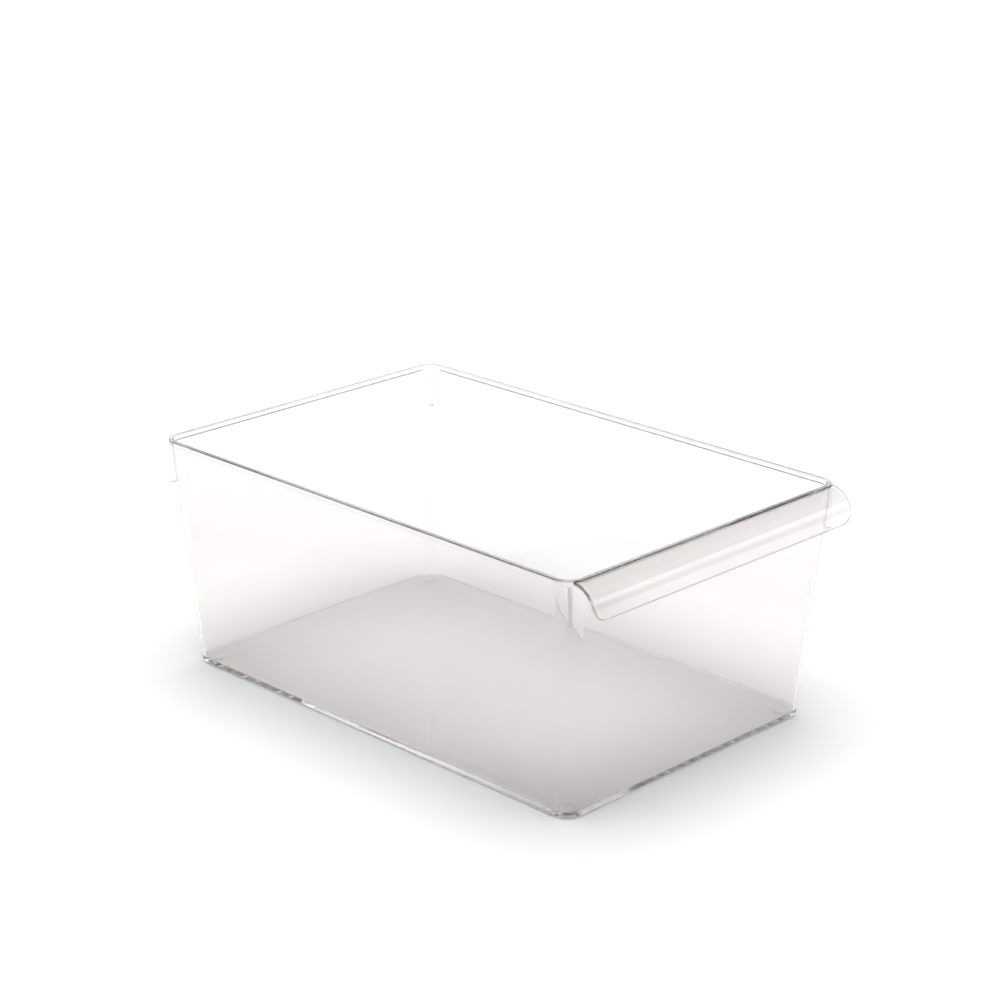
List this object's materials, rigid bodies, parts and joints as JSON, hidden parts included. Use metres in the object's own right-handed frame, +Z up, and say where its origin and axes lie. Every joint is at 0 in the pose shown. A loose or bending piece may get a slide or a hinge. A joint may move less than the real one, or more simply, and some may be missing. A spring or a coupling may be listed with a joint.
{
  "type": "fridge bin",
  "caption": "Clear open-top moulded bin with leaning walls, a thickened rim, corner stacking ribs, a full-width pull lip and small foot pads, for sliding food out of a fridge.",
  "frame": {"origin": "on the ground plane, under the middle of the whole outline with the pull lip", "axes": "+Z up, +Y to the back, so the pull lip points to -Y; X runs across the bin, which is the same on both sides of X = 0"},
  "size_m": [0.211, 0.3312, 0.1356],
  "materials": {
    "clear_body": "clear polished moulded polystyrene",
    "foot_pad": "milky, translucent soft polyurethane"
  },
  "bodies": {
    "root": {"bin_body": "clear_body", "foot_front_left": "foot_pad", "foot_front_right": "foot_pad", "foot_back_left": "foot_pad", "foot_back_right": "foot_pad"}
  },
  "joints": []
}
